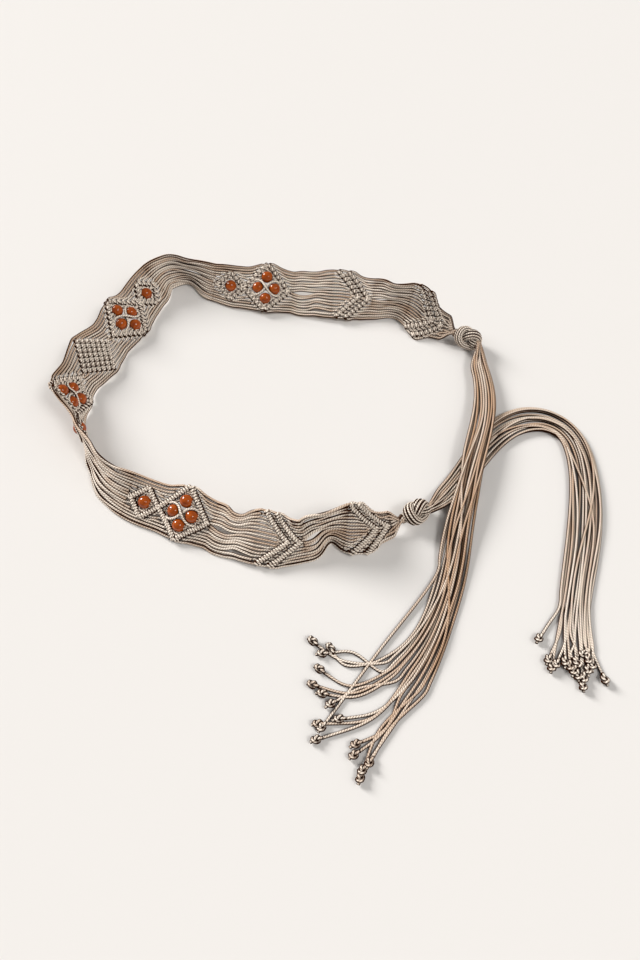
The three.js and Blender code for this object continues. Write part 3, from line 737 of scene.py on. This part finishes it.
def plain_run(node, side, start, length):
    panel = Panel(side, start, start + length)
    stretches = max(int(length / RUN_MARKS_EVERY), FEWEST_MARKS)
    marks = np.linspace(start, start + length, stretches + 1)[1:-1]
    shares = (marks - start) / length
    swell = np.sin(math.pi * (marks - start) / length)
    sag, parting, hanging = (
        most * np.exp(-(((shares - middle) / reach) ** 2))
        for most, (middle, reach) in zip(RUNS[node], BULGES)
    )
    half = half_width(marks)
    bunch = loop(KNOT_AT + side * marks)[2]("width")
    squeeze = 0.5 * np.sqrt(np.maximum(CORD**2 - (half * 2 / CORDS * bunch) ** 2, 0))
    for number, cord in panel.cords.items():
        strip, second = divmod(number, 2)
        left = SLOT * SLOT_SHARES[strip - 1] / 2 * swell if strip > 0 else 0
        right = SLOT * SLOT_SHARES[strip] / 2 * swell if strip < len(SLOT_SHARES) else 0
        low = half * (2 * strip / HALF_CORDS - 1) + left
        high = half * (2 * (strip + 1) / HALF_CORDS - 1) - right
        across = low + (high - low) * (0.75 if second else 0.25)
        phases = random.uniform(0, 2 * math.pi, len(WAVE_RATES))
        waves = [np.sin(marks * rate + phase) for rate, phase in zip(WAVE_RATES, phases)]
        across = across + DRIFT * swell * (waves[0] + SECOND_WAVE * waves[1])
        across -= sag * ((number + 0.5) / CORDS) ** UPPER_SAG
        across += parting * (1 if number >= HALF_CORDS else -1) * swell
        across += hanging * (number > 1) * ((CORDS - number) / (CORDS - 2))
        lifted = LIFT * (waves[2] + SECOND_WAVE * waves[3])
        off = (squeeze * (1 if second else -1) + lifted) * np.sqrt(swell)
        cord["points"].extend(zip(marks, across, off))
    panel.lay(node, RUN_STEP, RUN_CORD)


for half, side in HALVES:
    plain_run(f"inner_run_{half}", side, INNER_RUN_AT, INNER_RUN)
    bead_panel(f"bead_panel_outer_{half}", side, OUTER_BEADS_AT, (SMALL, LARGE), -side)
    plain_run(f"middle_run_{half}", side, MIDDLE_RUN_AT, MIDDLE_RUN)

# The chevrons: two rows of double half hitches that point towards the knot. In each row the
# outermost cord of either half leads in to the middle, with the seven others hitched on to it.


def chevrons(node, side, start):
    panel = Panel(side, start, start + CHEVRON_PANEL)
    for step in (0, CHEVRON_STEP):
        panel.row(start + EDGE_REACH + LARGE_ALONG + step, -1, LARGE_HITCHES, True)
    panel.finish(node)


for half, side in HALVES:
    chevrons(f"first_chevrons_{half}", side, FIRST_CHEVRON_AT)
    plain_run(f"outer_run_{half}", side, OUTER_RUN_AT, OUTER_RUN)
    chevrons(f"second_chevrons_{half}", side, SECOND_CHEVRON_AT)

# The overhand knots: at each end of the band all sixteen cords gather into one bundle, which is
# tied in a single overhand knot and drawn tight.

BUNDLE_RINGS = ((1, 0.0), (5, 1.5), (10, 2.75))  # cords in each ring, and the ring's radius
BUNDLE = 3.0  # half the bundle's thickness where it is pressed flat
FLAT = 0.75  # how much thinner the bundle gets as it bends round the knot
SPREAD = 1.5  # and how much wider
KNOT_ROLL = {"near": math.radians(215), "far": math.radians(225)}
KNOT_CORD = 1.95  # the cords are drawn thinner in the knots
KNOT_PAINTED_HIGHLIGHT = 0.4  # and get a painted highlight, drawn paler as in the hitches
KNOT_STEP = 0.8
# Half of a loose overhand knot's line. The other half is the same, turned half round its middle.
KNOT_HALF = (
    (-26, 0, 0),
    (-16, -0.8, 2.8),
    (-10.8, -4, 8.6),
    (-4.8, -2.8, 2),
    (0, -6.8, -7.8),
    (6, -12, -2.4),
    (12.8, -8.8, 6.8),
    (16.4, 0, 5.6),
    (12.4, 9.2, 1.2),
    (4.4, 12.6, 0.2),
)
loose_knot = np.array(KNOT_HALF + tuple((-x, y, -z) for x, y, z in KNOT_HALF[::-1]), float)


def evened(line, count):
    lengths = np.concatenate([[0], np.cumsum(np.linalg.norm(np.diff(line, axis=0), axis=1))])
    places = np.linspace(0, lengths[-1], count)
    return np.column_stack([np.interp(places, lengths, column) for column in line.T])


KNOT_SAMPLES = 400
PULL = 0.45  # how far a round moves each point towards the middle of its neighbours
PUSHES = 3  # how often it then pushes apart what touches
NEIGHBOURS = 2.6  # radii of line next to a point that don't push it
NOWHERE = 1e-9  # keeps a point's distance from itself above nothing


def drawn_tight(line, radius, count=72, rounds=300):
    """Shortens a loose knot's line until a bundle of the given radius along it touches itself."""
    line = evened(through(line, np.linspace(0, len(line) - 1, KNOT_SAMPLES)), count)
    apart = np.abs(np.subtract.outer(np.arange(count), np.arange(count)))
    for _ in range(rounds):
        spacing = np.linalg.norm(np.diff(line, axis=0), axis=1).mean()
        line[1:-1] += PULL * ((line[:-2] + line[2:]) / 2 - line[1:-1])
        for _ in range(PUSHES):
            gaps = line[:, None] - line[None]
            far = np.linalg.norm(gaps, axis=2) + NOWHERE
            close = (far < 2 * radius) & (apart * spacing > NEIGHBOURS * radius)
            move = (np.where(close, (2 * radius - far) / far / 4, 0)[..., None] * gaps).sum(axis=1)
            line[1:-1] += move[1:-1]
        line = evened(line, count)
    return line


KNOT_FROM, KNOT_TO = -12.5, 9.5  # what is kept of the line, along the band
knot_line = drawn_tight(loose_knot, BUNDLE)
knot_line = knot_line[(knot_line[:, 0] > KNOT_FROM) & (knot_line[:, 0] < KNOT_TO)]

bundle = []
for count, radius in BUNDLE_RINGS:
    turns = 2 * math.pi * (np.arange(count) + 0.5) / count
    bundle.extend(zip(radius * np.cos(turns), radius * np.sin(turns)))
bundle = np.array(bundle)


def carried(line, first):
    """Frames along a line that turn no more than it does: two directions square to it."""
    heading = unit(np.gradient(line, axis=0))
    sides = []
    side = np.array(first, float)
    for ahead in heading:
        side = unit(side - ahead * np.dot(side, ahead))
        sides.append(side)
    sides = np.array(sides)
    return sides, np.cross(heading, sides)


PRESSED = (1.5, 4.5)  # distances from the knot's axis over which it gets pressed flat


def overhand(offsets, roll=0.0, scale=1.0):
    """A bundle's cords through an overhand knot, rolled about the band's line. Returns each
    cord's points about the knot, and the ways in which it faces out of the bundle."""
    dense = through(knot_line, fine(knot_line, KNOT_STEP))
    across, above = carried(dense, (0, 1, 0))
    cosine, sine = math.cos(roll), math.sin(roll)
    rolled = np.array([(1, 0, 0), (0, cosine, sine), (0, -sine, cosine)]) * scale
    outer = np.column_stack([(dense * way).sum(axis=1) for way in (across, above)])
    apart = np.linalg.norm(outer, axis=1, keepdims=True)
    radial = (across * outer[:, :1] + above * outer[:, 1:]) / apart
    flattened = smoothstep(apart, *PRESSED)
    strands = []
    for y, z in offsets:
        out = across * y + above * z
        depth = (out * radial).sum(axis=1, keepdims=True) * radial
        pressed = depth * FLAT + (out - depth) * SPREAD
        laid = out + flattened * (pressed - out)
        strands.append(((dense + laid) @ rolled, out @ rolled / max(math.hypot(y, z), 1)))
    return strands


KNOT_LEAD = slice(0, 10, 3)  # the points of a cord in the knot that lead it there
knots = {}
for half, side in HALVES:
    centre = on_loop(side, KNOT_AT, 0, 0)[0][0]
    centre[2] = KNOT_HEIGHT / 2
    _, heading, read = loop(np.array([KNOT_AT * (1 + side)]))
    lean = math.radians(read("lean")[0])
    ahead = np.append(heading[0] * side, 0)
    left = np.array([-ahead[1], ahead[0], 0])
    frame_of_knot = np.array([ahead, left, (0, 0, 1)])
    rise = np.array([-side * math.sin(lean), math.cos(lean)])
    passes = overhand(bundle[np.argsort(bundle @ rise)], KNOT_ROLL[half])
    gathered, tied, ends = [], [], []
    for number in range(CORDS):
        marks = GATHER_AT - RUN_ON
        fan, face = on_loop(side, marks, lane(number, marks), layered(number, marks))
        knot, outwards = (way @ frame_of_knot for way in passes[number])
        knot = knot + centre
        blended = np.vstack([fan, knot[KNOT_LEAD]])
        places = fine(blended, first=len(fan) - 1, last=len(fan))
        own = order[side][number]
        gathered.append((through(blended, places), np.tile(face[-1], (len(places), 1)), tints[own]))
        # Cords in the knot get a painted highlight, as in the hitches
        tied.append((knot, outwards, tints[own] - KNOT_PAINTED_HIGHLIGHT))
        ends.append((knot[-1], own))
    lay_cords(f"gather_{half}", gathered, KNOT_STEP)
    lay_cords(f"knot_{half}", tied, KNOT_STEP, KNOT_CORD)
    ends.sort(key=lambda end: -(end[0] - centre) @ left)
    knots[half] = (centre[:2], ahead, ends)

# The fringes: the sixteen cords run on from each knot for a third of a metre, in a loose bundle
# two cords deep that opens towards its end. Each cord ends in a small overhand knot of its own.

TAIL_LENGTH = 352.0
TAIL_WIDTH = 20.0
TAIL_THICK = 4.4
# The line that each bundle follows from its knot: its place as shares of its length, its width
# as a share of the usual one, and how high it lies and how thick it is, as shares of TAIL_THICK
TAIL_COLUMNS = ("x", "y", "wide", "low", "thick")
NEAR_TAIL = (
    (0.025, 0.02, 0.5, 0.8, 1.6),
    (0.048, 0.04, 0.7, 0.05, 1.1),
    (0.078, 0.063, 0.88, 0, 1),
    (0.125, 0.131, 0.95, 0, 1),
    (0.182, 0.205, 1.15, 0, 1),
    (0.25, 0.252, 1.3, 0, 1),
    (0.31, 0.252, 1.3, 0, 1),
    (0.352, 0.224, 1.1, 0, 0.95),
    (0.37, 0.149, 1.1, 0, 0.9),
    (0.361, 0.037, 1.35, 0, 0.85),
    (0.335, -0.08, 1.15, 0, 0.8),
    (0.303, -0.188, 1.15, 0, 0.7),
    (0.283, -0.315, 1.7, 0, 0.5),
)
FAR_TAIL = (
    (0.012, -0.03, 0.5, 1.1, 1.9),
    (0.022, -0.075, 0.7, 0.9, 1.3),
    (0.029, -0.162, 0.85, 1.1, 1),
    (0.013, -0.244, 0.92, 1.5, 1),
    (-0.02, -0.335, 0.9, 1.75, 1),
    (-0.041, -0.422, 0.9, 1.8, 1),
    (-0.067, -0.515, 1.02, 0.6, 1),
    (-0.082, -0.593, 1.15, 0, 0.95),
    (-0.108, -0.668, 1.2, 0, 0.9),
    (-0.143, -0.739, 1.35, 0, 0.8),
    (-0.192, -0.801, 1.9, 0, 0.6),
    (-0.25, -0.842, 3, 0, 0.5),
    (-0.309, -0.863, 4.1, 0, 0.5),
)
# Where each cord of a fringe ends, how long before its end it leaves the bundle, and how far it
# bows to its left on the way: x, y, lead and bow, in thousandths of the fringe's length
NEAR_TIPS = (
    (335, -344, 170, -10),
    (316, -317, 100, 0),
    (310, -306, 100, 0),
    (306, -326, 150, 0),
    (301, -296, 100, 10),
    (296, -342, 150, 0),
    (292, -357, 200, 0),
    (288, -313, 100, -10),
    (285, -337, 150, 0),
    (279, -328, 120, 10),
    (273, -319, 120, 0),
    (265, -310, 150, 0),
    (248, -315, 180, 10),
    (238, -321, 200, 0),
    (234, -306, 200, 10),
    (222, -264, 170, 0),
)
FAR_TIPS = (
    (-259, -959, 200, -10),
    (-276, -985, 200, -20),
    (-272, -972, 190, 0),
    (-287, -946, 170, 10),
    (-283, -927, 170, 20),
    (-313, -882, 200, 20),
    (-355, -919, 240, 30),
    (-352, -891, 220, 40),
    (-328, -854, 180, -10),
    (-344, -835, 180, 20),
    (-363, -818, 200, 30),
    (-350, -788, 180, 30),
    (-344, -758, 170, -20),
    (-363, -733, 190, 20),
    (-329, -747, 160, 20),
    (-345, -897, 430, 0),
)
PAST_PATH = 0.06  # from the end of a bundle's line to the tips, as a share of TAIL_LENGTH
TAIL_STEP = 1.1
STRAIGHT_OUT = 1.5  # how far a cord runs straight on as it leaves its knot
FIRST_MARKS = (16, 30)  # the bundle's first places along its line
MARKS_FROM, MARKS_EVERY = 45, 15
FILL = 0.98  # how much of the fringe's width its cords take up
CROSS_AT = (50, 180)  # between these a cord starts to cross to the place of its own tip
CROSS_WAY = 90  # and takes this long
WAVES = ((0.8, 0.045), (0.5, 0.08), (0.2, 0.05))  # two across and one up: size, radians a mm
SWAY_GROWS = (20, 60)
UPPER = 0.85  # how high the upper layer lies, as a share of the bundle's free thickness
CROSS_OVER = 0.45  # how much higher a cord lies while it crosses
BOW_AT = 0.55  # where on its way from the bundle a cord bows most
TIP_POINTS = 4  # a cord's last points, which its end knot replaces
STOPPER = 0.33  # a cord's own end knot, as a share of the bundle's
STOPPER_UP = 1.3  # how much higher it lies than its cord
CUT_END = (0.8, 2.2)  # how much cord is left past it
TIP_PALER = 0.5  # the fringe is drawn paler towards its end
PALER_OVER = (0.1, 0.5)  # shares of its length from its tip over which that fades


def fringe(half, table, tips, brown):
    """Lays a fringe's cords. They lie in two layers, and the upper one's cross over each other."""
    centre, ahead, ends = knots[half]
    path = route(table, TAIL_COLUMNS, TAIL_LENGTH, centre)
    upper = iter(random.permutation(range(1, CORDS, 2)))
    starts = [index if index % 2 == 0 else int(next(upper)) for index in range(CORDS)]
    strands = []
    for index, (x, y, lead, bow) in enumerate(np.array(tips) / 1000):
        end, own = ends[starts[index]]
        layer = index % 2
        target = centre + np.array([x, y]) * TAIL_LENGTH
        leaves = path.length - (lead - PAST_PATH) * TAIL_LENGTH
        marks = np.concatenate([FIRST_MARKS, np.arange(MARKS_FROM, leaves, MARKS_EVERY), [leaves]])
        point, heading, read = path(marks)
        crossing_at = random.uniform(*CROSS_AT)
        crossed = smoothstep(marks, crossing_at, crossing_at + CROSS_WAY)
        column = starts[index] + (index - starts[index]) * crossed
        phases = random.uniform(0, 2 * math.pi, len(WAVES))
        sway, ripple, rise = (
            size * np.sin(marks * rate + phase) for (size, rate), phase in zip(WAVES, phases)
        )
        width = read("wide") * TAIL_WIDTH
        across = width * ((column + 0.5) * (FILL / CORDS) - FILL / 2)
        across += (sway + ripple) * smoothstep(marks, *SWAY_GROWS)
        thick = np.maximum(read("thick") * TAIL_THICK, CORD)
        low = read("low") * TAIL_THICK + CORD / 2
        crossing = np.sin(math.pi * np.clip((marks - crossing_at) / CROSS_WAY, 0, 1))
        lifted = layer * (thick - CORD) * (UPPER + rise + CROSS_OVER * crossing)
        left = np.column_stack([-heading[:, 1], heading[:, 0]])
        laid = np.column_stack([point - left * across[:, None], low + lifted])
        for _ in range(2):
            laid[1:-1] = (laid[:-2] + 2 * laid[1:-1] + laid[2:]) / 4
        away = target - laid[-1, :2]
        aside = np.array([-away[1], away[0]]) / np.linalg.norm(away)
        middle = laid[-1, :2] + away * BOW_AT + aside * bow * TAIL_LENGTH
        bend = end + ahead * STRAIGHT_OUT
        line = np.vstack([end, bend, laid, [*middle, CORD / 2], [*target, CORD / 2]])
        curve = through(line, fine(line, 1.0))
        cosine, sine = unit((curve[-1] - curve[-TIP_POINTS])[:2])
        turn = np.array([(cosine, sine, 0), (-sine, cosine, 0), (0, 0, 1)])
        tip = overhand(((0, 0),), scale=STOPPER)[0][0] @ turn + curve[-1]
        tip[:, 2] += STOPPER_UP
        tail_end = tip[-1] + turn[0] * random.uniform(*CUT_END)
        whole = np.vstack([curve[:-TIP_POINTS], tip, [tail_end]])
        upright = np.tile((0.0, 0.0, 1.0), (len(whole), 1))
        left_to_go = np.arange(len(whole), 0, -1) / len(whole)
        tint = tints[own] + brown - TIP_PALER * (1 - smoothstep(left_to_go, *PALER_OVER))
        strands.append((whole, upright, tint))
    lay_cords(f"tail_{half}", strands, TAIL_STEP)


FAR_BROWNER = 0.25
fringe("near", NEAR_TAIL, NEAR_TIPS, 0)
fringe("far", FAR_TAIL, FAR_TIPS, FAR_BROWNER)

# The beads: twenty round wood beads, drilled through, stained orange brown and polished. Each
# sits in the CAD bead's place and carries the two cords that run through its bore.

BEAD_BORE = 4.0
BEAD_SIDES = 32
BEAD_RINGS = 18
GRAIN = (0.55, 0.55, 0.12)  # how fine the grain is across and along the bore
GRAIN_APART = 50  # each bead shows another part of it, up to this far off
DARK_WOOD = (0.2, 0.03, 0.002, 1)
PALE_WOOD = (0.46, 0.088, 0.004, 1)


def wood_finish():
    """Orange brown stained wood under a clear varnish."""
    material, tree = new_material("stained_wood")
    local = wired(tree, "ShaderNodeAttribute", attribute_name="grain")
    noise = {"Vector": local.outputs["Vector"], "Scale": 1.0, "Detail": 5.0, "Distortion": 0.6}
    rings = wired(tree, "ShaderNodeTexNoise", noise)
    tone = wired(tree, "ShaderNodeValToRGB", {"Fac": rings.outputs[0]})
    dark, pale = tone.color_ramp.elements
    dark.position, dark.color = 0.3, DARK_WOOD
    pale.position, pale.color = 0.72, PALE_WOOD
    relief = {"Height": rings.outputs[0], "Strength": 0.15, "Distance": 0.0002}
    bump = wired(tree, "ShaderNodeBump", relief)
    wood = {"Base Color": tone.outputs[0], "Roughness": 0.45, "Specular IOR Level": 0.0}
    varnish = {"Coat Weight": 1.0, "Coat Roughness": 0.08, "Normal": bump.outputs[0]}
    end_material(tree, wood | varnish)
    return material


def drilled_bead():
    """One bead about its own bore, which runs along Z, as points and faces."""
    open_at = math.asin(BEAD_BORE / BEAD)
    turns = np.linspace(open_at, math.pi - open_at, BEAD_RINGS)
    profile = [(BEAD / 2 * math.sin(t), -BEAD / 2 * math.cos(t)) for t in turns]
    spins = 2 * math.pi * np.arange(BEAD_SIDES) / BEAD_SIDES
    points = [(r * math.cos(a), r * math.sin(a), z) for r, z in profile for a in spins]
    faces = []
    for ring in range(BEAD_RINGS):
        here, after = (at % BEAD_RINGS * BEAD_SIDES for at in (ring, ring + 1))
        for i in range(BEAD_SIDES):
            j = (i + 1) % BEAD_SIDES
            faces.append((here + i, here + j, after + j, after + i))
    return np.array(points), faces


stained_wood = wood_finish()
bead_points, bead_faces = drilled_bead()
bead_nodes = sorted(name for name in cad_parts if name.startswith("bead_") and "panel" not in name)
all_points, all_faces, grains = [], [], []
for name in bead_nodes:
    centre = np.mean(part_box(name), axis=0)
    corners = np.array([vertex.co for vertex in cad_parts[name].data.vertices]) - centre
    amounts, ways = np.linalg.eigh(corners.T @ corners)
    bore = ways[:, np.argmax(amounts)]
    side_way = unit(np.cross(bore, (0, 0, 1.0)))
    turn = np.array([side_way, np.cross(bore, side_way), bore])
    start = sum(len(part) for part in all_points)
    all_points.append(bead_points * MM @ turn + centre)
    all_faces.extend(tuple(start + corner for corner in face) for face in bead_faces)
    grains.append(bead_points * GRAIN + random.uniform(-GRAIN_APART, GRAIN_APART, 3))
bead_mesh = bpy.data.meshes.new("wood_beads")
bead_mesh.from_pydata(np.vstack(all_points).tolist(), [], all_faces)
store(bead_mesh, "grain", np.vstack(grains))
bead_mesh.materials.append(stained_wood)
add_piece("wood_beads", bead_mesh, "bead", *bead_nodes)

# The table under the belt, the light and the camera. A low window lamp at the upper left throws
# the shadows, and two weaker lamps at the front fill them and put a glint on the beads.

FLOOR_TONE = (0.723, 0.7, 0.681, 1)
FLOOR = ((-4, -4, 0), (4, -4, 0), (4, 4, 0), (-4, 4, 0))  # its corners, in metres
floor_mesh = bpy.data.meshes.new("table_top")
floor_mesh.from_pydata(FLOOR, [], [(0, 1, 2, 3)])
pale_table, floor_tree = new_material("pale_table")
end_material(floor_tree, {"Base Color": FLOOR_TONE, "Roughness": 0.9})
floor_mesh.materials.append(pale_table)
placed("table_top", floor_mesh)


WINDOW_TONE = (1.0, 0.99, 0.97)
ROOM_TONE = (1.0, 0.985, 0.96)


def light(name, place, power, tone, angle):
    """A sun lamp that shines from its place towards the belt, as wide as an angle in radians."""
    data = bpy.data.lights.new(name, "SUN")
    data.energy, data.color, data.angle = power, tone, angle
    lamp = placed(name, data)
    lamp.location = place
    lamp.rotation_mode = "QUATERNION"
    lamp.rotation_quaternion = Vector([-value for value in place]).to_track_quat("-Z", "Y")
    return lamp


light("window", (-1.0, 0.75, 0.64), power=3.92, tone=WINDOW_TONE, angle=0.4)
front = light("front_lamp", (1.1, -0.5, 1.2), power=0.9, tone=ROOM_TONE, angle=1.2)
light("glint", (0.8, -0.5, 1.3), power=0.95, tone=ROOM_TONE, angle=0.3)
front.visible_glossy = False
world = bpy.data.worlds.new("studio")
world.use_nodes = True
sky = world.node_tree.nodes["Background"].inputs
sky["Color"].default_value = (*ROOM_TONE, 1)
sky["Strength"].default_value = 0.25
bpy.context.scene.world = world
bpy.context.scene.view_settings.view_transform = "Standard"

CAMERA_ABOVE = math.radians(60)  # its angle over the table
CAMERA_FROM = 0.62  # metres from the loop's origin
camera_data = bpy.data.cameras.new("camera")
camera_data.sensor_width, camera_data.lens = 36, 30.57
camera = placed("camera", camera_data)
camera.location = (
    table_origin[0],
    table_origin[1] - CAMERA_FROM * math.cos(CAMERA_ABOVE),
    CAMERA_FROM * math.sin(CAMERA_ABOVE),
)
camera.rotation_euler = (math.pi / 2 - CAMERA_ABOVE, 0, 0)
bpy.context.scene.camera = camera
